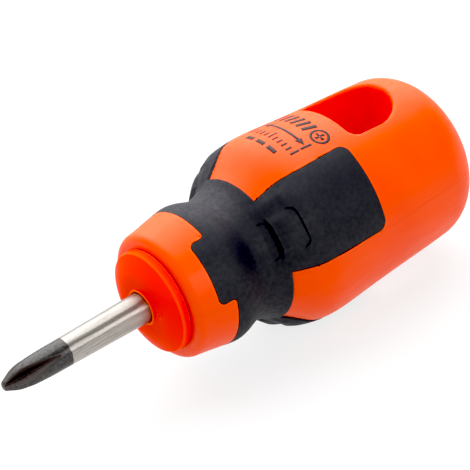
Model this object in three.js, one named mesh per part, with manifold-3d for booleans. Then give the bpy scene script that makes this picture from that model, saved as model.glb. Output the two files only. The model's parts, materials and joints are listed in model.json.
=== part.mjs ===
// A stubby cross-tip screwdriver: a steel blade moulded into a handle of three shots,
// a hard core, a hard shell and a soft grip. Units are millimetres. The blade lies
// along +X, +Z is up, and the origin is below the middle of the tool, on the surface
// that it lies on.
import * as THREE from "three";
import { mergeVertices } from "three/addons/utils/BufferGeometryUtils.js";
import Module from "manifold-3d";

const wasm = await Module();
wasm.setup();

// ---- driving dimensions -------------------------------------------------------------
// Places along the tool are measured from the nose face: ahead of it they are positive,
// inside the handle they are negative.
const BLADE_REACH = 25; // nose face to the end of the tip
const HANDLE_LENGTH = 57.3;
const BELLY_RADIUS = 15.05; // hard shell at its fattest
const GRIP_PROUD = 0.1; // how far the soft pads stand above the shell
const SEAM = 0.2; // clearance between two shots, and between blade and core
const ROUND_SEGMENTS = 36; // facets round the axis
const SHELL_STEPS = 22; // facets along the shell's side
const PAD_STEPS = 9;
const SHOULDER_STEPS = 3;
const END_CORNER_STEPS = 5;
const SLOT_ARC_STEPS = 4; // facets in each round corner of the slot

const SHANK_ROOT_RADIUS = 2.4; // where it leaves the nose
const SHANK_TIP_RADIUS = 2.16; // just behind the cross
const TIP_CONE_START = 22.6;
const TIP_FLAT_RADIUS = 0.8;
const TIP_EDGE_ROUND = 0.2;
const FLUTE_START = 15.3; // where a flute runs out into the shank
const FLUTE_FLOOR_AT_TIP = 0.42; // radius of the flute's floor at the end of the tip
const FLUTE_HALF_ANGLE = 50; // degrees, half of the V between two wings
const FLUTE_TURN = 30; // degrees from +Y to the first flute
const TANG_DEPTH = 33;
const DRIVE_WING_SPAN = 8.4;
const DRIVE_WING_THICKNESS = 1.6;
const DRIVE_WING_LENGTH = 7;

const NOSE_RADIUS = 8.35;
const NOSE_FLAT_RADIUS = 5.6;
const NOSE_THICKNESS = 2.6;
const NOSE_RIM = 0.65; // height of the disc's straight rim
const NOSE_UNDERCUT = 0.3; // rounding behind the rim
const NOSE_BEAD_HEIGHT = 0.25; // ring that stands up round the blade
const NOSE_BEAD_RADIUS = 3.1;
const CORE_RADIUS = 6.2;
const CORE_RING_RADIUS = 7;
const CORE_RING_WIDTH = 3;
const CORE_RING_PLACES = [-9, -18, -27];
const CORE_DEPTH = 35.5;

const SHOULDER_RADIUS = 1.6; // round at the front of the shell
const SHELL_FRONT_RADIUS = 8.55;
const SHELL_FRONT = -NOSE_THICKNESS - SEAM;
const END_CORNER_RADIUS = 6.8; // round between the side and the flat butt
const END_FLAT_RADIUS = 6.55;

const SECTORS = 3; // pads and tabs repeat round the axis
const FIRST_PAD_TURN = 30; // degrees from +Y to the middle of the first pad
const BAND_FRONT = -9.5;
const BAND_REAR = -19.5;
const TAB_FRONT = -6.85;
const TAB_HALF_WIDTH = 5;
const TAB_CORNER_RADIUS = 1;
const PAD_FRONT = -16.3;
const PAD_REAR = -35.8;
const PAD_FRONT_HALF_WIDTH = 5.2;
const PAD_HALF_WIDTH = 6.95;
const PAD_FULL_WIDTH_FROM = -24.5;
const PAD_CORNER_RADIUS = 1.6;
const GRIP_THICKNESS = 1.7;

const SLOT_FRONT = -38.2;
const SLOT_REAR = -49.55;
const SLOT_HALF_WIDTH = 6.9;
const SLOT_FRONT_CORNER = 1.4;
const SLOT_REAR_CORNER = 6.2;

// Outer outlines as [place along the tool, radius] points that a smooth curve joins.
const SHELL_SIDE = [
  [SHELL_FRONT - SHOULDER_RADIUS, SHELL_FRONT_RADIUS + SHOULDER_RADIUS],
  [-9.5, 10.97],
  [-11.1, 11.15],
  [-12.9, 10.75],
  [-15, 10.3],
  [-17.6, 10.65],
  [-19.5, 11.3],
  [-21.8, 12.67],
  [-24.7, 14.36],
  [-27.4, BELLY_RADIUS],
  [-32.7, 14.68],
  [-40.1, 14.12],
  [-HANDLE_LENGTH + END_CORNER_RADIUS, END_FLAT_RADIUS + END_CORNER_RADIUS],
];
const PAD_SIDE = [
  [PAD_FRONT, 10.35],
  [-18, 11.18],
  [-19.66, 12.44],
  [-21.54, 13.71],
  [-23.86, 14.62],
  [-26.8, BELLY_RADIUS + GRIP_PROUD],
  [-30.4, 14.86 + GRIP_PROUD],
  [PAD_REAR - 1, 14.36 + GRIP_PROUD],
];

// ---- geometry helpers ---------------------------------------------------------------
const degrees = (angle) => THREE.MathUtils.degToRad(angle);
const vectors = (points) => points.map(([along, radius]) => new THREE.Vector2(along, radius));

// Points on the smooth curve through an outline.
function smoothLine(points, steps) {
  const curve = new THREE.SplineCurve(vectors(points));
  return curve.getPoints(steps).map((point) => [point.x, point.y]);
}

// Radius of an outline at one place along the tool.
function radiusAt(line, along) {
  const next = line.findIndex(([place]) => place <= along);
  const [place0, radius0] = line[next - 1];
  const [place1, radius1] = line[next];
  return THREE.MathUtils.mapLinear(along, place0, place1, radius0, radius1);
}

// Points on a round corner, from one angle to another about its centre.
function corner(centre, radius, fromAngle, toAngle, steps) {
  const points = [];
  for (let step = 0; step <= steps; step++) {
    const angle = degrees(THREE.MathUtils.lerp(fromAngle, toAngle, step / steps));
    points.push([centre[0] + radius * Math.cos(angle), centre[1] + radius * Math.sin(angle)]);
  }
  return points;
}

function solidFrom(geometry) {
  const bare = geometry.clone();
  bare.deleteAttribute("normal");
  bare.deleteAttribute("uv");
  const merged = mergeVertices(bare, 1e-4);
  return new wasm.Manifold(
    new wasm.Mesh({
      numProp: 3,
      vertProperties: merged.attributes.position.array,
      triVerts: new Uint32Array(merged.index.array),
    }),
  );
}

function geometryFrom(solid) {
  const mesh = solid.getMesh();
  const geometry = new THREE.BufferGeometry();
  geometry.setAttribute("position", new THREE.BufferAttribute(mesh.vertProperties, 3));
  geometry.setIndex(new THREE.BufferAttribute(mesh.triVerts, 1));
  geometry.computeVertexNormals();
  return geometry;
}

// A solid turned about the X axis, from [place, radius] points listed tip to butt.
function turned(points) {
  const profile = points.map(([along, radius]) => new THREE.Vector2(radius, along)).reverse();
  return solidFrom(new THREE.LatheGeometry(profile, ROUND_SEGMENTS).rotateZ(-Math.PI / 2));
}

// A prism whose outline lies in the X-Y plane, standing from one height to another.
function prism(shape, fromHeight, toHeight, curveSegments = 3) {
  const height = toHeight - fromHeight;
  const options = { depth: height, bevelEnabled: false, curveSegments };
  return solidFrom(new THREE.ExtrudeGeometry(shape, options).translate(0, 0, fromHeight));
}

// Copies of a solid that faces +Z, turned so that they face out round the axis.
function aroundAxis(solid, count, firstTurn) {
  const copies = [];
  for (let index = 0; index < count; index++) {
    copies.push(solid.rotate([firstTurn - 90 + (index * 360) / count, 0, 0]));
  }
  return copies;
}

const joined = (solids) => solids.reduce((whole, solid) => whole.add(solid));

// ---- blade --------------------------------------------------------------------------
function tipFlute() {
  const length = BLADE_REACH - FLUTE_START;
  const rise = SHANK_TIP_RADIUS - FLUTE_FLOOR_AT_TIP;
  const depth = 2 * SHANK_TIP_RADIUS;
  const halfWidth = depth * Math.tan(degrees(FLUTE_HALF_ANGLE));
  const section = new THREE.Shape();
  section.moveTo(0, 0);
  section.lineTo(halfWidth, depth);
  section.lineTo(-halfWidth, depth);
  section.closePath();
  const groove = new THREE.ExtrudeGeometry(section, { depth: 2 * length, bevelEnabled: false });
  groove.rotateX(Math.PI / 2).rotateZ(Math.PI / 2);
  groove.rotateY(Math.atan2(rise, length));
  return solidFrom(groove.translate(FLUTE_START, 0, SHANK_TIP_RADIUS));
}

// The two wings pinched out of the tang, which key it into the core.
function driveWings(grow) {
  const rear = -TANG_DEPTH + SHANK_ROOT_RADIUS - grow;
  const front = rear + DRIVE_WING_LENGTH + 2 * grow;
  const half = DRIVE_WING_SPAN / 2 + grow;
  const shape = new THREE.Shape();
  shape.moveTo(rear, -SHANK_ROOT_RADIUS);
  shape.lineTo(rear + half - SHANK_ROOT_RADIUS, -half);
  shape.lineTo(front - half + SHANK_ROOT_RADIUS, -half);
  shape.lineTo(front, -SHANK_ROOT_RADIUS);
  shape.lineTo(front, SHANK_ROOT_RADIUS);
  shape.lineTo(front - half + SHANK_ROOT_RADIUS, half);
  shape.lineTo(rear + half - SHANK_ROOT_RADIUS, half);
  shape.lineTo(rear, SHANK_ROOT_RADIUS);
  shape.closePath();
  const thickness = DRIVE_WING_THICKNESS / 2 + grow;
  return prism(shape, -thickness, thickness);
}

function blade() {
  const outline = [
    [BLADE_REACH, 0],
    [BLADE_REACH, TIP_FLAT_RADIUS],
    [BLADE_REACH - TIP_EDGE_ROUND, TIP_FLAT_RADIUS + TIP_EDGE_ROUND],
    [TIP_CONE_START, SHANK_TIP_RADIUS],
    [FLUTE_START, SHANK_TIP_RADIUS],
    [0, SHANK_ROOT_RADIUS],
    [-TANG_DEPTH + SHANK_ROOT_RADIUS / 2, SHANK_ROOT_RADIUS],
    [-TANG_DEPTH, SHANK_ROOT_RADIUS / 2],
    [-TANG_DEPTH, 0],
  ];
  const flutes = joined(aroundAxis(tipFlute(), 4, FLUTE_TURN));
  return turned(outline).subtract(flutes).add(driveWings(0));
}

// The room that the blade's buried part leaves in the core.
function tangRoom() {
  const radius = SHANK_ROOT_RADIUS + SEAM;
  const room = turned([
    [1, 0],
    [1, radius],
    [-TANG_DEPTH - SEAM, radius],
    [-TANG_DEPTH - SEAM, 0],
  ]);
  return room.add(driveWings(SEAM));
}

// ---- handle core --------------------------------------------------------------------
// The buried part's outline behind the nose disc, grown on every side.
function coreSide(grow) {
  const points = [[-NOSE_THICKNESS + grow, CORE_RADIUS + grow]];
  for (const place of CORE_RING_PLACES) {
    const front = place + CORE_RING_WIDTH / 2 + grow;
    const rear = place - CORE_RING_WIDTH / 2 - grow;
    points.push([front, CORE_RADIUS + grow], [front, CORE_RING_RADIUS + grow]);
    points.push([rear, CORE_RING_RADIUS + grow], [rear, CORE_RADIUS + grow]);
  }
  points.push([-CORE_DEPTH - grow, CORE_RADIUS + grow], [-CORE_DEPTH - grow, 0]);
  return points;
}

function handleCore() {
  const outline = [
    [0, 0],
    [0, NOSE_BEAD_RADIUS - NOSE_BEAD_HEIGHT],
    [-NOSE_BEAD_HEIGHT, NOSE_BEAD_RADIUS],
    [-NOSE_BEAD_HEIGHT, NOSE_FLAT_RADIUS],
    [-NOSE_THICKNESS + NOSE_RIM, NOSE_RADIUS],
    [-NOSE_THICKNESS, NOSE_RADIUS - NOSE_UNDERCUT],
    [-NOSE_THICKNESS, CORE_RADIUS],
    ...coreSide(0).slice(1),
  ];
  return turned(outline).subtract(tangRoom());
}

// ---- soft grip ----------------------------------------------------------------------
// Plan of a pad or a tab seen from outside, with both rear or front corners rounded.
function padPlan(grow) {
  const rear = PAD_REAR - grow;
  const half = PAD_HALF_WIDTH + grow;
  const frontHalf = PAD_FRONT_HALF_WIDTH + grow;
  const shape = new THREE.Shape();
  shape.moveTo(PAD_FRONT, -frontHalf);
  shape.lineTo(PAD_FRONT, frontHalf);
  shape.quadraticCurveTo((PAD_FRONT + PAD_FULL_WIDTH_FROM) / 2, half, PAD_FULL_WIDTH_FROM, half);
  shape.lineTo(rear + PAD_CORNER_RADIUS, half);
  shape.absarc(rear + PAD_CORNER_RADIUS, half - PAD_CORNER_RADIUS, PAD_CORNER_RADIUS,
    Math.PI / 2, Math.PI);
  shape.absarc(rear + PAD_CORNER_RADIUS, PAD_CORNER_RADIUS - half, PAD_CORNER_RADIUS,
    Math.PI, 1.5 * Math.PI);
  shape.lineTo(PAD_FULL_WIDTH_FROM, -half);
  shape.quadraticCurveTo((PAD_FRONT + PAD_FULL_WIDTH_FROM) / 2, -half, PAD_FRONT, -frontHalf);
  return shape;
}

function tabPlan(grow) {
  const front = TAB_FRONT + grow;
  const rear = BAND_FRONT - 1;
  const half = TAB_HALF_WIDTH + grow;
  const shape = new THREE.Shape();
  shape.moveTo(rear, half);
  shape.lineTo(rear, -half);
  shape.lineTo(front - TAB_CORNER_RADIUS, -half);
  shape.absarc(front - TAB_CORNER_RADIUS, TAB_CORNER_RADIUS - half, TAB_CORNER_RADIUS,
    1.5 * Math.PI, 2 * Math.PI);
  shape.absarc(front - TAB_CORNER_RADIUS, half - TAB_CORNER_RADIUS, TAB_CORNER_RADIUS,
    0, Math.PI / 2);
  return shape;
}

// A ring between an outline and the same outline sunk by the grip's thickness.
function skinRing(line, from, to, lift, sink) {
  const inside = line.filter(([along]) => along < from && along > to);
  const outer = [[from, radiusAt(line, from)], ...inside, [to, radiusAt(line, to)]];
  const inner = outer.map(([along, radius]) => [along, radius - sink]).reverse();
  const raised = outer.map(([along, radius]) => [along, radius + lift]);
  return turned([...raised, ...inner, raised[0]]);
}

// The grip with lift added to its outside and grow to every other side. Grown, it is
// the pocket that it fills in the shell.
function gripBody(lift, grow) {
  const sink = GRIP_THICKNESS + grow;
  const shellLine = smoothLine(SHELL_SIDE, SHELL_STEPS);
  const padLine = smoothLine(PAD_SIDE, PAD_STEPS);
  const band = skinRing(shellLine, BAND_FRONT + grow, BAND_REAR - grow, lift, sink);
  const tabRing = skinRing(shellLine, TAB_FRONT + grow, BAND_FRONT - 1, lift, sink);
  const padRing = skinRing(padLine, PAD_FRONT - 0.1, PAD_REAR - grow, lift, sink);
  const reach = 2 * BELLY_RADIUS;
  const tabs = aroundAxis(prism(tabPlan(grow), 0, reach), SECTORS, FIRST_PAD_TURN);
  const pads = aroundAxis(prism(padPlan(grow), 0, reach), SECTORS, FIRST_PAD_TURN);
  return joined([
    band,
    ...tabs.map((plan) => tabRing.intersect(plan)),
    ...pads.map((plan) => padRing.intersect(plan)),
  ]);
}

const softGrip = () => gripBody(0, 0);

// ---- handle shell -------------------------------------------------------------------
// Plan of the hanging slot: small round corners in front, and large ones that make its rear
// end an arch.
function slotPlan() {
  const half = SLOT_HALF_WIDTH;
  const frontArc = SLOT_FRONT - SLOT_FRONT_CORNER;
  const rearArc = SLOT_REAR + SLOT_REAR_CORNER;
  const shape = new THREE.Shape();
  shape.moveTo(frontArc, half);
  shape.absarc(rearArc, half - SLOT_REAR_CORNER, SLOT_REAR_CORNER, Math.PI / 2, Math.PI);
  shape.absarc(rearArc, SLOT_REAR_CORNER - half, SLOT_REAR_CORNER, Math.PI, 1.5 * Math.PI);
  shape.absarc(frontArc, SLOT_FRONT_CORNER - half, SLOT_FRONT_CORNER, -Math.PI / 2, 0);
  shape.absarc(frontArc, half - SLOT_FRONT_CORNER, SLOT_FRONT_CORNER, 0, Math.PI / 2);
  return shape;
}

function slotRoom() {
  const reach = 2 * BELLY_RADIUS;
  return prism(slotPlan(), -reach, reach, SLOT_ARC_STEPS);
}

function handleShell() {
  const shoulderCentre = [SHELL_FRONT - SHOULDER_RADIUS, SHELL_FRONT_RADIUS];
  const endCentre = [-HANDLE_LENGTH + END_CORNER_RADIUS, END_FLAT_RADIUS];
  const outline = [
    [SHELL_FRONT, 0],
    ...corner(shoulderCentre, SHOULDER_RADIUS, 0, 90, SHOULDER_STEPS),
    ...smoothLine(SHELL_SIDE, SHELL_STEPS).slice(1),
    ...corner(endCentre, END_CORNER_RADIUS, 90, 180, END_CORNER_STEPS).slice(1),
    [-HANDLE_LENGTH, 0],
  ];
  const coreRoom = turned([[1, 0], [1, CORE_RADIUS + SEAM], ...coreSide(SEAM).slice(1)]);
  return turned(outline)
    .subtract(coreRoom)
    .subtract(gripBody(BELLY_RADIUS, SEAM))
    .subtract(slotRoom());
}

// ---- assembly -----------------------------------------------------------------------
const STEEL = { color: 0xc8c3be, roughness: 0.32, metalness: 1 };
const CORE_PLASTIC = { color: 0xf03a05, roughness: 0.4, metalness: 0 };
const SHELL_PLASTIC = { color: 0xff5a05, roughness: 0.42, metalness: 0 };
const SOFT_RUBBER = { color: 0x2b2c2e, roughness: 0.7, metalness: 0 };

function piece(name, solid, look) {
  const mesh = new THREE.Mesh(geometryFrom(solid), new THREE.MeshStandardMaterial(look));
  mesh.name = name;
  return mesh;
}

const tool = new THREE.Group();
tool.add(
  piece("blade", blade(), STEEL),
  piece("handle_core", handleCore(), CORE_PLASTIC),
  piece("handle_shell", handleShell(), SHELL_PLASTIC),
  piece("soft_grip", softGrip(), SOFT_RUBBER),
);
tool.position.set((HANDLE_LENGTH - BLADE_REACH) / 2, 0, BELLY_RADIUS + GRIP_PROUD);

const root = new THREE.Group();
root.add(tool);

export default root;
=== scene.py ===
"""Looks for a stubby cross-tip screwdriver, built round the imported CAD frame.

Every CAD node is replaced by a finer mesh of the same size and place. Each piece is a
signed distance field, written in millimetres in the tool's own frame: x runs along the
tool from the nose face towards the tip, and y and z are measured from its axis.
"""

import json
import math

import bpy
import numpy as np
from mathutils import Matrix, Vector


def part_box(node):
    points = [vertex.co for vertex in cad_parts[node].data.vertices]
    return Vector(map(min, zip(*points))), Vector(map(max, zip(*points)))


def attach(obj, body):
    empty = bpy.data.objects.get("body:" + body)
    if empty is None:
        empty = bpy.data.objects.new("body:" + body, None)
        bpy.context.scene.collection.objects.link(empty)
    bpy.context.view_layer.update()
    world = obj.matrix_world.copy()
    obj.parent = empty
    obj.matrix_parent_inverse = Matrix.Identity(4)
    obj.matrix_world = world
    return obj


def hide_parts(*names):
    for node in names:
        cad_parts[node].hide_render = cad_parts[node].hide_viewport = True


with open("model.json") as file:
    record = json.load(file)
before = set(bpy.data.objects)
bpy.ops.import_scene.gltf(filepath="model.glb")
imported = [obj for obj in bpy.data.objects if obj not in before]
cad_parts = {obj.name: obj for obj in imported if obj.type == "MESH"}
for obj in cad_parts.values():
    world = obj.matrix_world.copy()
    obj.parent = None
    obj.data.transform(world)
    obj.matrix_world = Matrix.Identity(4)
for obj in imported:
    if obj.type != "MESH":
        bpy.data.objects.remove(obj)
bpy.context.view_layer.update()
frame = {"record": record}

# ---- sizes, in millimetres ----------------------------------------------------------
MM = 0.001
MOUNTS = {mount["name"]: mount["pos_m"] for mount in frame["record"]["mounts"]}
TIP_X = MOUNTS["tip_end"][0]
AXIS_Z = MOUNTS["tip_end"][2]
NOSE_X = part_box("handle_core")[1].x
MARGIN = 0.01  # kept inside the CAD box at both ends
BLADE_REACH = (TIP_X - NOSE_X) / MM - MARGIN
BUTT = (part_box("handle_shell")[0].x - NOSE_X) / MM + MARGIN
TANG_END = (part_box("blade")[0].x - NOSE_X) / MM
CORE_END = (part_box("handle_core")[0].x - NOSE_X) / MM
FIT = 0.03  # clearance between moulded pieces

SHANK_ROOT_RADIUS = 2.4
SHANK_TIP_RADIUS = 2.16
FLUTE_START = 15.3
FLUTE_FLOOR_AT_TIP = 0.42
FLUTE_HALF_ANGLE = math.radians(54)
FLUTE_TURN = math.radians(30)
FLUTE_FLOOR_ROUND = 0.07
FLUTE_EDGE_ROUND = 0.03
TIP_FLAT_RADIUS = 0.68
TIP_CONE_ANGLE = math.radians(26.5)
TIP_OGIVE = 0.6  # blend between shank and cone
TIP_EDGE_ROUND = 0.3
TANG_END_ROUND = 1.0
DRIVE_WING_HALF_SPAN = 4.1
DRIVE_WING_HALF_THICKNESS = 0.75
DRIVE_WING_REACH = 5.9  # from the middle of the wings to where their slopes meet
DRIVE_WING_MIDDLE = TANG_END + DRIVE_WING_REACH
BLACKENED_FROM = 14.0  # the tip is black from here on

NOSE_RADIUS = 8.15
NOSE_THICKNESS = 2.9
NOSE_RIM_ROUND = 0.3
NOSE_BACK_ROUND = 0.25
NOSE_FACE_STEEPNESS = 1.12  # of the domed face towards its rim
BEAD_PLACE = (-0.2, SHANK_ROOT_RADIUS + 0.28)  # place along the tool and radius
BEAD_THICKNESS = 0.36
BEAD_FILLET = 0.15
CORE_RADIUS = 6.2
CORE_RING_RADIUS = 6.95
CORE_RING_HALF_WIDTH = 1.5
CORE_RING_PLACES = (-9, -18, -27)
GATE_MARK = (4.1, 0.3)  # y and z of the moulding gate's mark on the nose

SHELL_FRONT = -NOSE_THICKNESS - 3 * FIT
SHOULDER_ROUND = 1.2
END_ROUND = 6.6

FIRST_PAD_TURN = math.radians(30)
PAD_PITCH = math.radians(120)
BAND_FRONT = -9.5
BAND_REAR = -19.5
TAB_FRONT = -6.85
TAB_HALF_WIDTH = 5.0
PAD_FRONT = -16.3
PAD_REAR = -35.8
PAD_HALF_WIDTH = 6.95
PAD_FRONT_HALF_WIDTH = 5.25
PAD_FULL_WIDTH_FROM = -24.5
GRIP_THICKNESS = 1.6
GRIP_PROUD = 0.02
GRIP_GAP = 0.03  # each side of the line round the grip
PAD_SIDE_SHARE = 0.4  # of the middle's height above the shell that a pad has at its sides
PAD_CROWN_ENDS = (math.radians(21), math.radians(31))

# The relief on each pad. A pair is where something fades out and where it is full.
RELIEF_SHIFT = -0.25  # off the pad's middle
THUMB_WALL = -18.8
THUMB_SCOOP_REACH = 3.4  # from the wall forward
THUMB_HALF_WIDTH = 3.0
THUMB_CORNER = 0.8
THUMB_DEPTH = 0.2
THUMB_WALL_FADE = (0.06, -0.12)
FRONT_SCALE_HEIGHT = 0.6
FRONT_SCALE_START = (-18.75, -18.95)
FRONT_SCALE_END = (-23.4, -19.6)
FRONT_SCALE_SIDE = (3.6, 1.8)
REAR_SCALE_EDGE = -22.5
REAR_SCALE_HALF_WIDTH = 3.2
REAR_SCALE_CORNER = 0.9
REAR_SCALE_HEIGHT = 0.3
REAR_SCALE_STEP = (-0.05, 0.09)
REAR_SCALE_HOOKS = (-21.2, -22.1)
REAR_SCALE_END = (-27.0, -23.0)
REAR_SCALE_SIDE = (6.2, 3.6)

SLOT_FRONT = -38.2
SLOT_REAR = -49.55
SLOT_HALF_WIDTH = 6.9
SLOT_FRONT_CORNER = 1.5
SLOT_REAR_CORNER = 6.2
SLOT_LIP_ROUND = 0.6

# Outer outlines as (place along the tool, radius) points on a smooth curve.
SHELL_LINE = (
    (-2.8, 9.92), (-4.4, 10.12), (-9.5, 10.94), (-11.1, 11.12), (-12.9, 10.77), (-15.2, 10.13),
    (-17.4, 10.5), (-19.5, 11.3), (-21.8, 12.8), (-24.7, 14.56), (-27.4, 14.99),
    (-32.7, 14.68), (-40.1, 14.12), (-46.0, 13.75), (-52.0, 13.3), (-60.0, 12.6),
)
PAD_LINE = (
    (-12.9, 10.77), (-15.2, 10.13), (-16.6, 10.2), (-17.8, 10.65), (-19.0, 11.53),
    (-20.0, 12.45), (-21.0, 13.2), (-22.5, 14.05), (-24.0, 14.68), (-26.5, 15.03),
    (-30.4, 14.82), (-35.8, 14.4), (-40, 14.1),
)


class Outline:
    """A natural cubic spline through (place, value) points."""

    def __init__(self, points):
        places, values = np.array(sorted(points), float).T
        step = np.diff(places)
        slope = np.diff(values) / step
        count = len(places)
        system = np.eye(count)
        right = np.zeros(count)
        for i in range(1, count - 1):
            system[i, i - 1 : i + 2] = step[i - 1], 2 * (step[i - 1] + step[i]), step[i]
            right[i] = 6 * (slope[i] - slope[i - 1])
        self.places, self.values, self.step = places, values, step
        self.bend = np.linalg.solve(system, right)

    def __call__(self, place):
        place = np.clip(place, self.places[0], self.places[-1])
        i = np.clip(np.searchsorted(self.places, place) - 1, 0, len(self.step) - 1)
        h = self.step[i]
        a = (self.places[i + 1] - place) / h
        b = 1 - a
        bend = (a**3 - a) * self.bend[i] + (b**3 - b) * self.bend[i + 1]
        return a * self.values[i] + b * self.values[i + 1] + bend * h * h / 6


shell_line = Outline(SHELL_LINE)
pad_line = Outline(PAD_LINE)


# ---- distance field tools -----------------------------------------------------------
SLOPE_STEP = 0.05


def round_cut(a, b, radius):
    """Where both fields hold, with their edge rounded."""
    corner = np.hypot(np.maximum(a + radius, 0), np.maximum(b + radius, 0))
    return np.minimum(np.maximum(a, b), -radius) + corner


def round_join(a, b, radius):
    """Where either field holds, with a fillet between them."""
    return -round_cut(-a, -b, radius)


def soft_max(a, b, width):
    blend = np.maximum(width - np.abs(a - b), 0) / width
    return np.maximum(a, b) + blend * blend * width / 4


def smooth_step(low, high, value):
    t = np.clip((value - low) / (high - low), 0, 1)
    return t * t * (3 - 2 * t)


def steepness(line, x):
    """What a radial distance to an outline is divided by to make it a true distance."""
    slope = (line(x + SLOPE_STEP) - line(x - SLOPE_STEP)) / (2 * SLOPE_STEP)
    return np.sqrt(1 + slope * slope)


def turned(line, x, radius):
    """Field of a turned body."""
    return (radius - line(x)) / steepness(line, x)


# ---- surface from a field -----------------------------------------------------------
GRADIENT_STEP = 0.004
HALVINGS = 12  # of a grid edge, while the surface is sought on it
CENTRE_PULL = 0.03  # of a cell's vertex towards the middle of its crossings
SHARP_ANGLE = math.radians(38)


def gradient(field, points):
    columns = []
    for axis in range(3):
        offset = np.zeros(3)
        offset[axis] = GRADIENT_STEP
        columns.append(field(*(points + offset).T) - field(*(points - offset).T))
    result = np.stack(columns, 1) / (2 * GRADIENT_STEP)
    return result / np.maximum(np.linalg.norm(result, axis=1, keepdims=True), 1e-9)


def crossings(field, values, axes, axis):
    """Grid edges along one axis that the surface crosses: node, point, and which way."""
    low = [slice(None)] * 3
    high = [slice(None)] * 3
    low[axis] = slice(None, -1)
    high[axis] = slice(1, None)
    inside = values < 0
    node = np.argwhere(inside[tuple(low)] != inside[tuple(high)])
    after = node.copy()
    after[:, axis] += 1
    start = np.stack([axes[i][node[:, i]] for i in range(3)], 1)
    end = np.stack([axes[i][after[:, i]] for i in range(3)], 1)
    outward = inside[tuple(node.T)]
    for _ in range(HALVINGS):
        middle = (start + end) / 2
        same = ((field(*middle.T) < 0) == outward)[:, None]
        start = np.where(same, middle, start)
        end = np.where(same, end, middle)
    return node, (start + end) / 2, outward


def field_surface(field, axes):
    """Dual contouring: one vertex per grid cell that the surface passes, set on the
    surface's own planes, so that sharp edges stay sharp. Returns vertices and quads."""
    values = field(axes[0][:, None, None], axes[1][None, :, None], axes[2][None, None, :])
    cells = [len(a) - 1 for a in axes]
    quads, points, normals = [], [], []
    for axis in range(3):
        second, third = (axis + 1) % 3, (axis + 2) % 3
        node, point, outward = crossings(field, values, axes, axis)
        ring = []
        for back_second, back_third in ((0, 0), (1, 0), (1, 1), (0, 1)):
            cell = node.copy()
            cell[:, second] -= back_second
            cell[:, third] -= back_third
            ring.append(np.ravel_multi_index(cell.T, cells))
        ring = np.stack(ring, 1)
        quads.append(np.where(outward[:, None], ring, ring[:, ::-1]))
        points.append(point)
        normals.append(gradient(field, point))
    corner_cells = np.concatenate(quads).ravel()
    points = np.repeat(np.concatenate(points), 4, axis=0)
    normals = np.repeat(np.concatenate(normals), 4, axis=0)
    cell_ids, corner = np.unique(corner_cells, return_inverse=True)
    vertices = cell_points(points, normals, corner, len(cell_ids))
    index = np.stack(np.unravel_index(cell_ids, cells), 1)
    for i in range(3):
        low, high = axes[i][index[:, i]], axes[i][index[:, i] + 1]
        vertices[:, i] = np.clip(vertices[:, i], low, high)
    return vertices, corner.reshape(-1, 4)


def cell_points(points, normals, corner, count):
    """The point in each cell nearest to all the tangent planes that cross it."""
    total = lambda weights: np.bincount(corner, weights, count)
    number = total(None)
    centre = np.stack([total(points[:, i]) / number for i in range(3)], 1)
    distance = np.einsum("ij,ij->i", normals, points - centre[corner])
    matrix = np.empty((count, 3, 3))
    right = np.empty((count, 3))
    for i in range(3):
        right[:, i] = total(normals[:, i] * distance)
        for j in range(3):
            matrix[:, i, j] = total(normals[:, i] * normals[:, j])
        matrix[:, i, i] += CENTRE_PULL * number
    return centre + np.linalg.solve(matrix, right[:, :, None])[:, :, 0]


def spaced(*stretches):
    """Grid places from (start, step) pairs. The last pair's start is the end."""
    places = []
    for (start, step), (end, _) in zip(stretches, stretches[1:]):
        places.append(np.linspace(start, end, math.ceil((end - start) / step) + 1)[:-1])
    return np.append(np.concatenate(places), stretches[-1][0])


def bend_at(field, points, reach):
    """How sharply the surface turns: positive on an outer edge, negative in a hollow."""
    total = -6 * field(*points.T)
    for axis in range(3):
        for side in (-reach, reach):
            offset = np.zeros(3)
            offset[axis] = side
            total = total + field(*(points + offset).T)
    return total / reach


def to_frame(points):
    """Tool-frame millimetres to row-frame metres."""
    return points * MM + np.array([NOSE_X, 0, AXIS_Z])


def mesh_piece(name, vertices, faces, material):
    mesh = bpy.data.meshes.new(name)
    mesh.from_pydata(to_frame(vertices).tolist(), [], faces.tolist())
    mesh.validate()
    mesh.shade_smooth()
    mesh.materials.append(material)
    piece = bpy.data.objects.new(name, mesh)
    bpy.context.scene.collection.objects.link(piece)
    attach(piece, "root")
    return piece


def keep_values(piece, name, values):
    """Keeps a number on each vertex for the material to read."""
    attribute = piece.data.attributes.new(name, "FLOAT", "POINT")
    attribute.data.foreach_set("value", values.astype(np.float32))


def field_piece(name, field, axes, wear_and_highlight_reach, material, slot, **masks):
    """A solid piece from its field, with its edges and any masks kept for the material."""
    vertices, quads = field_surface(field, axes)
    piece = mesh_piece(name, vertices, quads, material)
    piece.data.set_sharp_from_angle(angle=SHARP_ANGLE)
    # The edge values drive edge wear and painted edge highlights in the materials.
    keep_values(piece, "edge", bend_at(field, vertices, wear_and_highlight_reach))
    for key, mask in masks.items():
        keep_values(piece, key, mask(*vertices.T))
    return piece


# ---- blade --------------------------------------------------------------------------
def shank_radius(x):
    taper = (SHANK_ROOT_RADIUS - SHANK_TIP_RADIUS) / FLUTE_START
    return SHANK_ROOT_RADIUS - taper * np.clip(x, 0, FLUTE_START)


def flute_field(x, out, across):
    """Negative inside a V groove whose floor rises from the tip to the shank."""
    rise = (SHANK_TIP_RADIUS - FLUTE_FLOOR_AT_TIP) / (BLADE_REACH - FLUTE_START)
    floor = FLUTE_FLOOR_AT_TIP + rise * (BLADE_REACH - x)
    wall = 1 / math.tan(FLUTE_HALF_ANGLE)
    side = np.sqrt(across * across + FLUTE_FLOOR_ROUND * FLUTE_FLOOR_ROUND)
    return (floor + wall * side - out) / math.hypot(1, wall)


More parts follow.
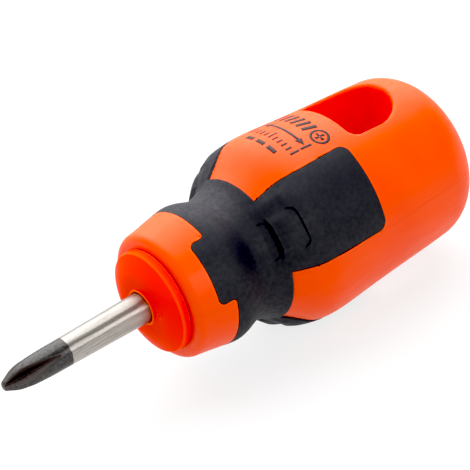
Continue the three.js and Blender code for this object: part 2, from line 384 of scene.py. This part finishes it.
def drive_wing_field(x, y, z):
    """The two wings pinched out of the tang."""
    half = DRIVE_WING_REACH - np.abs(x - DRIVE_WING_MIDDLE)
    side = np.abs(y) - np.minimum(half, DRIVE_WING_HALF_SPAN)
    return np.maximum(np.abs(z) - DRIVE_WING_HALF_THICKNESS, side / 1.4)


def nearest_flute(x, y, z):
    """Field of the four flutes together."""
    fields = []
    for quarter in range(4):
        turn = FLUTE_TURN + quarter * math.pi / 2
        out = y * math.cos(turn) + z * math.sin(turn)
        across = z * math.cos(turn) - y * math.sin(turn)
        fields.append(flute_field(x, out, across))
    return np.minimum.reduce(fields)


def flute_mask(x, y, z):
    """1 on the walls of the flutes, 0 elsewhere."""
    return smooth_step(0.06, 0.02, nearest_flute(x, y, z))


def blade_field(x, y, z):
    radius = np.hypot(y, z)
    cone = radius - TIP_FLAT_RADIUS - (BLADE_REACH - x) * math.tan(TIP_CONE_ANGLE)
    body = soft_max(radius - shank_radius(x), cone * math.cos(TIP_CONE_ANGLE), TIP_OGIVE)
    body = round_cut(body, x - BLADE_REACH, TIP_EDGE_ROUND)
    body = round_cut(body, TANG_END - x, TANG_END_ROUND)
    body = round_cut(body, -nearest_flute(x, y, z), FLUTE_EDGE_ROUND)
    return np.minimum(body, drive_wing_field(x, y, z))


# ---- handle core --------------------------------------------------------------------
nose_face = Outline(
    ((0, -0.22), (3.6, -0.24), (5.2, -0.34), (6.4, -0.72), (7.4, -1.2), (8.4, -1.78), (9.5, -2.4))
)


def gate_mark(y, z):
    """Height of the scar that the moulding gate left: a low ring with a pip in it."""
    away = np.hypot(y - GATE_MARK[0], z - GATE_MARK[1])
    ring = np.exp(-(((away - 0.62) / 0.16) ** 2))
    return 0.07 * ring + 0.1 * np.exp(-((away / 0.2) ** 2))


def core_side_field(x, radius, grow=0.0):
    """The buried body with its rings, grown to make the room for it."""
    body = round_cut(radius - CORE_RADIUS, CORE_END - x, 0.6)
    for place in CORE_RING_PLACES:
        ring = round_cut(radius - CORE_RING_RADIUS, np.abs(x - place) - CORE_RING_HALF_WIDTH, 0.2)
        body = np.minimum(body, ring)
    return body - grow


def core_field(x, y, z):
    radius = np.hypot(y, z)
    face = x - nose_face(radius) - gate_mark(y, z)
    bead = np.hypot(x - BEAD_PLACE[0], radius - BEAD_PLACE[1]) - BEAD_THICKNESS / 2
    disc = round_cut(face / NOSE_FACE_STEEPNESS, radius - NOSE_RADIUS, NOSE_RIM_ROUND)
    disc = round_cut(disc, -NOSE_THICKNESS - x, NOSE_BACK_ROUND)
    body = np.maximum(core_side_field(x, radius), x + NOSE_THICKNESS - 0.5)
    solid = round_join(np.minimum(disc, body), bead, BEAD_FILLET)
    tang = np.maximum(radius - SHANK_ROOT_RADIUS, TANG_END - x)
    return np.maximum(solid, FIT - np.minimum(tang, drive_wing_field(x, y, z)))


# ---- soft grip ----------------------------------------------------------------------
def sector(y, z):
    """Distance across and out from the middle of the nearest pad, and the angle to it."""
    turn = np.arctan2(z, y) - FIRST_PAD_TURN
    turn = (turn + PAD_PITCH / 2) % PAD_PITCH - PAD_PITCH / 2
    radius = np.hypot(y, z)
    return radius * np.sin(turn), radius * np.cos(turn), turn


def grip_plan(x, across, out):
    """Negative where the grip covers the handle, seen from outside."""
    narrowing = smooth_step(PAD_FULL_WIDTH_FROM, PAD_FRONT, x)
    half = PAD_HALF_WIDTH + (PAD_FRONT_HALF_WIDTH - PAD_HALF_WIDTH) * narrowing
    pad = round_cut(np.abs(across) - half, PAD_REAR - x, 1.5)
    pad = np.maximum(pad, x - PAD_FRONT)
    tab = round_cut(np.abs(across) - TAB_HALF_WIDTH, x - TAB_FRONT, 1.0)
    tab = np.maximum(tab, BAND_FRONT - 1 - x)
    band = np.maximum(x - BAND_FRONT, BAND_REAR - x)
    plan = round_join(band, tab, 0.6)
    return np.maximum(round_join(plan, pad, 0.35), -out)


def thumb_recess(x, across):
    """Depth of the scoop in the front of each pad, deepest at its steep rear wall."""
    inside = round_cut(THUMB_WALL - x, np.abs(across) - THUMB_HALF_WIDTH, THUMB_CORNER)
    depth = THUMB_DEPTH * smooth_step(THUMB_WALL + THUMB_SCOOP_REACH, THUMB_WALL, x)
    return depth * smooth_step(*THUMB_WALL_FADE, inside)


def pad_scales(x, across):
    """Height of the two scales on each pad. The front one rises at the scoop's wall and runs
    out. The rear one starts at a step that is bent like a bracket round the front one."""
    side = np.abs(across)
    front = smooth_step(*FRONT_SCALE_START, x) * smooth_step(*FRONT_SCALE_END, x)
    front = FRONT_SCALE_HEIGHT * front * smooth_step(*FRONT_SCALE_SIDE, side)
    behind = round_cut(REAR_SCALE_EDGE - x, side - REAR_SCALE_HALF_WIDTH, REAR_SCALE_CORNER)
    rear = smooth_step(*REAR_SCALE_STEP, behind) * smooth_step(*REAR_SCALE_END, x)
    rear = rear * smooth_step(*REAR_SCALE_HOOKS, x) * smooth_step(*REAR_SCALE_SIDE, side)
    return front + REAR_SCALE_HEIGHT * rear


def grip_top(x, across, turn):
    """Radius of the grip's outer surface."""
    crown = 1 - smooth_step(*PAD_CROWN_ENDS, np.abs(turn))
    share = PAD_SIDE_SHARE + (1 - PAD_SIDE_SHARE) * crown
    base = shell_line(x)
    top = base + np.maximum(pad_line(x) - base, 0) * share
    top = np.where(x > PAD_FRONT, base, top) + GRIP_PROUD
    across = across - RELIEF_SHIFT
    return top + pad_scales(x, across) - thumb_recess(x, across)


def grip_field(x, y, z):
    across, out, turn = sector(y, z)
    radius = np.hypot(y, z)
    steep = steepness(shell_line, x)
    top = (radius - grip_top(x, across, turn)) / steep
    floor = (shell_line(x) - GRIP_THICKNESS - radius) / steep
    skin = np.maximum(top, grip_plan(x, across, out) + GRIP_GAP)
    return np.maximum(skin, floor)


def grip_pocket(x, y, z):
    """The room that the grip fills in the shell, open to the outside."""
    across, out, _ = sector(y, z)
    floor = shell_line(x) - GRIP_THICKNESS - np.hypot(y, z)
    return np.maximum(grip_plan(x, across, out) - GRIP_GAP, floor - FIT)


# ---- handle shell -------------------------------------------------------------------
def slot_plan(x, y):
    """Negative inside the slot."""
    side = np.abs(y) - SLOT_HALF_WIDTH
    front = round_cut(side, x - SLOT_FRONT, SLOT_FRONT_CORNER)
    rear = round_cut(side, SLOT_REAR - x, SLOT_REAR_CORNER)
    return np.maximum(front, rear)


def shell_field(x, y, z):
    radius = np.hypot(y, z)
    body = round_cut(turned(shell_line, x, radius), BUTT - x, END_ROUND)
    body = round_cut(body, x - SHELL_FRONT, SHOULDER_ROUND)
    body = np.maximum(body, -core_side_field(x, radius, FIT))
    body = np.maximum(body, -grip_pocket(x, y, z))
    return round_cut(body, -slot_plan(x, y), SLOT_LIP_ROUND)


# ---- materials ----------------------------------------------------------------------
def linear(red, green, blue):
    """An 0-255 screen colour as the linear colour that the shader takes."""
    channel = lambda v: (v / 255 / 12.92) if v < 11 else ((v / 255 + 0.055) / 1.055) ** 2.4
    return channel(red), channel(green), channel(blue), 1.0


class Nodes:
    """A material's node tree, with a short way to add and join nodes."""

    def __init__(self, name):
        self.material = bpy.data.materials.new(name)
        self.material.use_nodes = True
        self.tree = self.material.node_tree
        self.shader = self.tree.nodes["Principled BSDF"]
        self.place = self.tree.nodes.new("ShaderNodeTexCoord").outputs["Object"]

    def add(self, kind, **inputs):
        node = self.tree.nodes.new(kind)
        for key, value in inputs.items():
            if key in node.inputs:
                self.set(node.inputs[key], value)
            else:
                setattr(node, key, value)
        return node

    def set(self, socket, value):
        if isinstance(value, bpy.types.NodeSocket):
            self.tree.links.new(value, socket)
        else:
            socket.default_value = value

    def shade(self, **inputs):
        for key, value in inputs.items():
            self.set(self.shader.inputs[key.replace("_", " ")], value)

    def stretched(self, scale):
        return self.add("ShaderNodeMapping", Vector=self.place, Scale=scale).outputs["Vector"]

    def noise(self, scale, detail=3.0, rough=0.5, vector=None):
        vector = self.place if vector is None else vector
        node = self.add("ShaderNodeTexNoise", Vector=vector, Scale=scale, Detail=detail,
                        Roughness=rough)
        return node.outputs["Fac"]

    def ramp(self, value, low, high, to_low=0.0, to_high=1.0):
        node = self.add("ShaderNodeMapRange", Value=value, clamp=True)
        node.interpolation_type = "SMOOTHSTEP"
        for key, number in (("From Min", low), ("From Max", high), ("To Min", to_low),
                            ("To Max", to_high)):
            self.set(node.inputs[key], number)
        return node.outputs["Result"]

    def math(self, operation, a, b=0.0):
        node = self.add("ShaderNodeMath", operation=operation)
        self.set(node.inputs[0], a)
        self.set(node.inputs[1], b)
        return node.outputs[0]

    def mix(self, share, a, b):
        node = self.add("ShaderNodeMix", data_type="RGBA")
        self.set(node.inputs[0], share)
        self.set(node.inputs[6], a)
        self.set(node.inputs[7], b)
        return node.outputs[2]

    def attribute(self, name):
        return self.add("ShaderNodeAttribute", attribute_name=name).outputs["Fac"]

    def round_x(self):
        """The direction of turning marks on a bar that lies along x."""
        node = self.add("ShaderNodeTangent", direction_type="RADIAL", axis="X")
        return node.outputs["Tangent"]

    def along(self, axis):
        split = self.add("ShaderNodeSeparateXYZ", Vector=self.place)
        return split.outputs[axis]

    def bump(self, layers):
        """Bumps laid one on another, from (height, depth in metres) pairs."""
        normal = None
        for height, depth in layers:
            node = self.add("ShaderNodeBump", Height=height, Distance=depth, Strength=1.0)
            if normal is not None:
                self.set(node.inputs["Normal"], normal)
            normal = node.outputs["Normal"]
        self.set(self.shader.inputs["Normal"], normal)


def orange_plastic(name, colour, deep_colour, sheen, painted_edge_highlight, parted):
    nodes = Nodes(name)
    clouds = nodes.noise(90, 2)
    tone = nodes.mix(nodes.ramp(clouds, 0.35, 0.7), deep_colour, colour)
    scuffs = nodes.noise(700, 4, 0.6, nodes.stretched((0.25, 1, 1)))
    # Painted highlight: sharp outer edges are tinted light orange, standing in for rims that catch
    # the key light.
    edge = nodes.ramp(nodes.attribute("edge"), 0.4, 1.2, 0.0, painted_edge_highlight)
    tone = nodes.mix(edge, tone, linear(255, 130, 54))
    rough = nodes.ramp(scuffs, 0.3, 0.75, 0.42, 0.52)
    grain = nodes.noise(5200, 2)
    ripple = nodes.noise(160, 2)
    layers = [(ripple, 0.00006), (grain, 0.0000035)]
    if parted:
        height = nodes.math("ABSOLUTE", nodes.math("SUBTRACT", nodes.along("Z"), AXIS_Z))
        line = nodes.ramp(height, 0.00004, 0.00011, 1.0, 0.0)
        layers.append((line, 0.00003))
        tone = nodes.mix(nodes.math("MULTIPLY", line, 0.35), tone, deep_colour)
    nodes.shade(Base_Color=tone, Roughness=rough, IOR=1.49,
                Specular_IOR_Level=sheen, Subsurface_Weight=0.12, Subsurface_Scale=0.0012)
    nodes.shader.inputs["Subsurface Radius"].default_value = (1.0, 0.35, 0.1)
    nodes.bump(layers)
    return nodes.material


def grip_rubber():
    nodes = Nodes("grip_rubber")
    clouds = nodes.noise(260, 5, 0.62)
    # Outer edges are tinted a lighter grey: partly wear, partly a painted highlight along the
    # edges.
    edge = nodes.ramp(nodes.attribute("edge"), 0.3, 1.4, 0.0, 0.12)
    tone = nodes.mix(nodes.ramp(clouds, 0.3, 0.72), linear(24, 24, 31), linear(31, 31, 38))
    tone = nodes.mix(edge, tone, linear(62, 62, 64))
    rough = nodes.ramp(nodes.noise(1500, 3), 0.3, 0.7, 0.56, 0.68)
    nodes.shade(Base_Color=tone, Roughness=rough, IOR=1.5, Specular_IOR_Level=0.72)
    nodes.bump([(nodes.noise(3600, 3, 0.6), 0.000012), (nodes.noise(420, 2), 0.00003)])
    return nodes.material


def blade_steel():
    nodes = Nodes("blade_steel")
    wobble = nodes.ramp(nodes.noise(900, 2), 0.3, 0.7, -0.00008, 0.00008)
    place = nodes.math("ADD", nodes.along("X"), wobble)
    start = NOSE_X + BLACKENED_FROM * MM
    black = nodes.ramp(place, start - 0.00006, start + 0.00006)
    streaks = nodes.noise(5200, 4, 0.6, nodes.stretched((0.03, 1, 1)))
    specks = nodes.noise(2600, 4, 0.7)
    steel = nodes.mix(nodes.ramp(streaks, 0.3, 0.7), linear(158, 154, 148), linear(192, 188, 182))
    steel = nodes.mix(nodes.ramp(specks, 0.5, 0.72, 0.0, 0.55), steel, linear(142, 134, 126))
    oxide = nodes.mix(nodes.ramp(specks, 0.35, 0.7), linear(80, 78, 80), linear(104, 103, 100))
    # The tip's sharp outer edges are lightened towards bare steel: partly wear of the blackening,
    # partly a painted highlight along the edges.
    edge_wear_and_highlight = nodes.ramp(nodes.attribute("edge"), 0.7, 2.2, 0.0, 0.6)
    oxide = nodes.mix(nodes.attribute("flute"), oxide, linear(74, 69, 68))
    oxide = nodes.mix(edge_wear_and_highlight, oxide, linear(150, 150, 146))
    rough_steel = nodes.ramp(streaks, 0.25, 0.75, 0.3, 0.38)
    rough_oxide = nodes.ramp(specks, 0.3, 0.7, 0.28, 0.42)
    rough = nodes.add("ShaderNodeMix", data_type="FLOAT")
    nodes.set(rough.inputs[0], black)
    nodes.set(rough.inputs[2], rough_steel)
    nodes.set(rough.inputs[3], rough_oxide)
    nodes.shade(Base_Color=nodes.mix(black, steel, oxide), Roughness=rough.outputs[0],
                Metallic=nodes.ramp(black, 0.0, 1.0, 1.0, 0.85), Anisotropic=0.6,
                Anisotropic_Rotation=0.25, Tangent=nodes.round_x())
    nodes.bump([(streaks, 0.0000006), (nodes.noise(9000, 2), 0.0000006)])
    return nodes.material


def print_ink():
    nodes = Nodes("print_ink")
    patches = nodes.noise(2600, 4, 0.7)
    tone = nodes.mix(nodes.ramp(patches, 0.3, 0.75), linear(40, 34, 34), linear(62, 48, 44))
    nodes.shade(Base_Color=tone, Roughness=nodes.ramp(patches, 0.3, 0.7, 0.42, 0.6))
    nodes.bump([(patches, 0.000004)])
    return nodes.material


# ---- printed mark -------------------------------------------------------------------
INK_THICKNESS = 0.02
INK_STEP = 0.25  # spacing of the ink's own mesh
PRINT_SLANT = 0.09  # forward shift of the rows for each millimetre towards +y
HEAD_PLACE = (-34.2, 4.8)  # of the cross-recess sign
HEAD_RADIUS = 1.35
HEAD_LINE = 0.45
STRIPES = (2.6, -1.5, 6)  # y of the first, pitch and number
STRIPE_HALF_LENGTH = 1.2
STRIPE_LEAN = 0.7
STRIPE_WIDTH = 0.85
ARROW_X = -31.0
ARROW_SHAFT = 3.6  # half its length
ARROW_REACH = 5.1  # y of the points
ARROW_STOP = 5.5  # y of the bars that the arrow points at
TICK_FOOT = -28.0
TICKS = (5.5, -1.1, 11)  # y of the first, pitch and number
LONG_TICK_EVERY = 5
DASH_X = -26.5
DASHES = (-2.8, 2.8, 3)  # y of the first, pitch and number


def ink_piece(name, plans, material):
    """Ink on the top panel, from grids of (x, y) points, each mapped onto the shell."""
    vertices, faces = [], []
    for plan in plans:
        rows, columns = plan.shape[:2]
        x, y = plan[..., 0].ravel(), plan[..., 1].ravel()
        radius = shell_line(x)
        first = sum(len(v) for v in vertices)
        for lift in (-INK_THICKNESS / 2, INK_THICKNESS):
            z = np.sqrt((radius + lift) ** 2 - y * y)
            vertices.append(np.stack([x, y, z], 1))
        top = rows * columns
        at = lambda i, j: first + i * columns + j
        for i in range(rows - 1):
            for j in range(columns - 1):
                quad = [at(i, j), at(i + 1, j), at(i + 1, j + 1), at(i, j + 1)]
                faces.append([v + top for v in quad])
                faces.append(quad[::-1])
        closed = np.allclose(plan[0], plan[-1])
        rim = [at(i, 0) for i in range(rows)]
        sides = [rim, [at(i, columns - 1) for i in reversed(range(rows))]]
        if not closed:
            sides.append([at(rows - 1, j) for j in range(columns)])
            sides.append([at(0, j) for j in reversed(range(columns))])
        for side in sides:
            for a, b in zip(side, side[1:]):
                faces.append([a, b, b + top, a + top])
    vertices = np.concatenate(vertices)
    return mesh_piece(name, vertices, np.array(faces), material)


def ink_band(start, end, start_width, end_width):
    """A straight stroke from one (x, y) place to another, of changing width."""
    start, end = np.array(start, float), np.array(end, float)
    length = np.linalg.norm(end - start)
    side = np.array([start[1] - end[1], end[0] - start[0]]) / length
    along = np.linspace(0, 1, max(2, int(length / INK_STEP)))[:, None, None]
    over = np.linspace(-0.5, 0.5, 3)[None, :, None]
    width = start_width + (end_width - start_width) * along
    return start + (end - start) * along + side * over * width


def ink_ring(x, y, radius, width, steps=72):
    turn = np.linspace(0, 2 * math.pi, steps + 1)
    out = np.linspace(radius - width / 2, radius + width / 2, 3)
    angle, distance = np.meshgrid(-turn, out, indexing="ij")
    return np.stack([x + distance * np.cos(angle), y + distance * np.sin(angle)], -1)


# ---- pieces -------------------------------------------------------------------------
def build_blade():
    along = spaced((TANG_END - 1, 0.4), (-1, 0.25), (FLUTE_START - 2, 0.1), (BLADE_REACH + 0.5, 0))
    across = spaced((-4.6, 0.2), (-2.6, 0.085), (2.6, 0.2), (4.6, 0))
    axes = (along, across, spaced((-2.7, 0.085), (2.7, 0)))
    piece = field_piece("blade_detail", blade_field, axes, 0.12, blade_steel(), "blade_steel",
                        flute=flute_mask)
    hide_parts("blade")


def build_core():
    plastic = orange_plastic("core_plastic", linear(243, 66, 4), linear(239, 60, 3), 0.09, 0.6,
                             False)
    along = spaced((CORE_END - 1, 0.5), (-3.3, 0.13), (0.6, 0))
    across = spaced((-9, 0.28), (-5.2, 0.14), (5.2, 0.28), (9, 0))
    piece = field_piece("core_detail", core_field, (along, across, across), 0.3, plastic,
                        "core_plastic")
    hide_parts("handle_core")


def build_shell():
    plastic = orange_plastic("shell_plastic", linear(237, 77, 3), linear(233, 72, 2), 0.56, 0.1,
                             True)
    across = spaced((-16, 0.33), (16, 0))
    axes = (spaced((BUTT - 1, 0.33), (SHELL_FRONT + 1, 0)), across, across)
    piece = field_piece("shell_detail", shell_field, axes, 0.4, plastic, "shell_plastic")
    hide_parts("handle_shell")


def build_grip():
    across = spaced((-16, 0.25), (16, 0))
    along = spaced((PAD_REAR - 1, 0.28), (-25, 0.17), (-16, 0.22), (TAB_FRONT + 1, 0))
    axes = (along, across, across)
    piece = field_piece("grip_detail", grip_field, axes, 0.3, grip_rubber(), "grip_rubber")
    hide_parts("soft_grip")


def places(first, pitch, number):
    return [first + pitch * index for index in range(number)]


def cross_recess_sign():
    x, y = HEAD_PLACE
    strokes = [ink_ring(x, y, HEAD_RADIUS, HEAD_LINE)]
    for wing_x, wing_y in ((1, 0), (-1, 0), (0, 1), (0, -1)):
        foot = (x + 0.1 * wing_x, y + 0.1 * wing_y)
        end = (x + 0.85 * wing_x, y + 0.85 * wing_y)
        strokes.append(ink_band(foot, end, 0.3, 0.55))
    return strokes


def stripes():
    front, back = HEAD_PLACE[0] + STRIPE_HALF_LENGTH, HEAD_PLACE[0] - STRIPE_HALF_LENGTH
    return [ink_band((back, y), (front, y - STRIPE_LEAN), STRIPE_WIDTH, STRIPE_WIDTH)
            for y in places(*STRIPES)]


def double_arrow():
    strokes = [ink_band((ARROW_X, -ARROW_SHAFT), (ARROW_X, ARROW_SHAFT), 0.5, 0.5)]
    for side in (-1, 1):
        shaft, point, stop = ARROW_SHAFT * side, ARROW_REACH * side, ARROW_STOP * side
        strokes.append(ink_band((ARROW_X, shaft), (ARROW_X, point), 1.4, 0.05))
        strokes.append(ink_band((ARROW_X - 1, stop), (ARROW_X + 1, stop), 0.45, 0.45))
    return strokes


def ticks():
    strokes = []
    for index, y in enumerate(places(*TICKS)):
        length = 1.7 if index % LONG_TICK_EVERY == 0 else 1.1
        strokes.append(ink_band((TICK_FOOT - length, y), (TICK_FOOT, y), 0.42, 0.42))
    return strokes


def dashes():
    return [ink_band((DASH_X, y - 1), (DASH_X, y + 1), 0.75, 0.75) for y in places(*DASHES)]


def build_mark():
    """A generic mark in rows: a cross recess seen end on, stripes, an arrow and a scale."""
    plans = cross_recess_sign() + stripes() + double_arrow() + ticks() + dashes()
    for plan in plans:
        plan[..., 0] += PRINT_SLANT * plan[..., 1]
    ink_piece("panel_mark", plans, print_ink())


# ---- stage, light and camera --------------------------------------------------------
CAMERA_AIM = (-18.75, -0.15, 2.79)  # tool frame
CAMERA_DISTANCE = 437.36
CAMERA_AZIMUTH = math.radians(57.04)
CAMERA_ELEVATION = math.radians(28.99)
CAMERA_ROLL = math.radians(-12.31)
CAMERA_LENS = 226.2

# Parts of the surroundings: azimuth, elevation and reach in degrees, and strength.
BACKDROP = (-120, 0, 65, 1.0)
FLAG = (148, 12, 50, 0.32)
FRONT_SCREEN = (30, 12, 55, 0.9)
SURROUNDINGS = 0.5
FLOOR_GLOW = 0.8
FLOOR_HALF_SIZE = 3.0
BLACK_POINT = 0.05
KEY = (-122, 56, 0.7, (1.15, 1.0))  # azimuth, elevation, distance and size
FILL = (100, 26, 0.8, (0.5, 0.4))


def direction(azimuth, elevation):
    flat = math.cos(elevation)
    return Vector((flat * math.cos(azimuth), flat * math.sin(azimuth), math.sin(elevation)))


def add_camera():
    data = bpy.data.cameras.new("camera")
    data.lens = CAMERA_LENS
    data.sensor_width = 36
    data.clip_start = 0.01
    camera = bpy.data.objects.new("camera", data)
    bpy.context.scene.collection.objects.link(camera)
    back = direction(CAMERA_AZIMUTH, CAMERA_ELEVATION)
    right = Vector((0, 0, 1)).cross(back).normalized()
    up = back.cross(right)
    turned_right = right * math.cos(CAMERA_ROLL) + up * math.sin(CAMERA_ROLL)
    turned_up = back.cross(turned_right)
    rotation = Matrix((turned_right, turned_up, back)).transposed().to_4x4()
    aim = Vector(to_frame(np.array(CAMERA_AIM)))
    camera.matrix_world = Matrix.Translation(aim + back * CAMERA_DISTANCE * MM) @ rotation
    bpy.context.scene.camera = camera


def add_light(name, azimuth, elevation, distance, size, radiance, mirrored=True):
    """A soft box that faces the tool. One that isn't mirrored leaves no highlight."""
    data = bpy.data.lights.new(name, "AREA")
    data.shape = "RECTANGLE"
    data.size, data.size_y = size
    data.energy = radiance * math.pi * size[0] * size[1]
    lamp = bpy.data.objects.new(name, data)
    bpy.context.scene.collection.objects.link(lamp)
    away = direction(math.radians(azimuth), math.radians(elevation))
    lamp.location = Vector((0, 0, AXIS_Z)) + away * distance
    lamp.rotation_euler = away.to_track_quat("Z", "Y").to_euler()
    lamp.visible_glossy = mirrored


def add_floor():
    nodes = Nodes("floor")
    tone = nodes.mix(nodes.noise(6, 2), (0.15, 0.15, 0.15, 1), (0.16, 0.16, 0.16, 1))
    nodes.shade(Base_Color=tone, Roughness=0.8, Specular_IOR_Level=0.0,
                Emission_Color=(1, 1, 1, 1), Emission_Strength=FLOOR_GLOW)
    size = FLOOR_HALF_SIZE
    mesh = bpy.data.meshes.new("floor")
    corners = [(-size, -size, 0), (size, -size, 0), (size, size, 0), (-size, size, 0)]
    mesh.from_pydata(corners, [], [(0, 1, 2, 3)])
    mesh.materials.append(nodes.material)
    floor = bpy.data.objects.new("floor", mesh)
    bpy.context.scene.collection.objects.link(floor)


def add_world():
    """Studio surroundings: dim, with a bright backdrop, a dark flag beside the camera and a
    screen in front of the tip."""
    world = bpy.data.worlds.new("studio")
    world.use_nodes = True
    nodes, links = world.node_tree.nodes, world.node_tree.links
    place = nodes.new("ShaderNodeTexCoord")
    light = SURROUNDINGS
    for azimuth, elevation, reach, strength in (BACKDROP, FLAG, FRONT_SCREEN):
        toward = nodes.new("ShaderNodeVectorMath")
        toward.operation = "DOT_PRODUCT"
        toward.inputs[1].default_value = direction(math.radians(azimuth), math.radians(elevation))
        shade = nodes.new("ShaderNodeMapRange")
        shade.interpolation_type = "SMOOTHSTEP"
        edge = math.cos(math.radians(reach))
        for key, number in (("From Min", edge), ("From Max", (1 + 2 * edge) / 3),
                            ("To Max", strength)):
            shade.inputs[key].default_value = number
        if isinstance(light, bpy.types.NodeSocket):
            links.new(light, shade.inputs["To Min"])
        else:
            shade.inputs["To Min"].default_value = light
        links.new(place.outputs["Generated"], toward.inputs[0])
        links.new(toward.outputs["Value"], shade.inputs["Value"])
        light = shade.outputs["Result"]
    links.new(light, nodes["Background"].inputs["Strength"])
    nodes["Background"].inputs["Color"].default_value = (1, 1, 1, 1)
    bpy.context.scene.world = world


def set_contrast():
    """The photograph-like contrast: blacks sink a little."""
    view = bpy.context.scene.view_settings
    view.view_transform = "Standard"
    view.use_curve_mapping = True
    view.curve_mapping.black_level = [BLACK_POINT] * 3
    view.curve_mapping.update()


add_camera()
add_floor()
add_world()
set_contrast()
add_light("key", *KEY, radiance=1.85)
add_light("key_body", *KEY, radiance=5.6, mirrored=False)
add_light("fill", *FILL, radiance=2.6)
build_blade()
build_core()
build_shell()
build_grip()
build_mark()
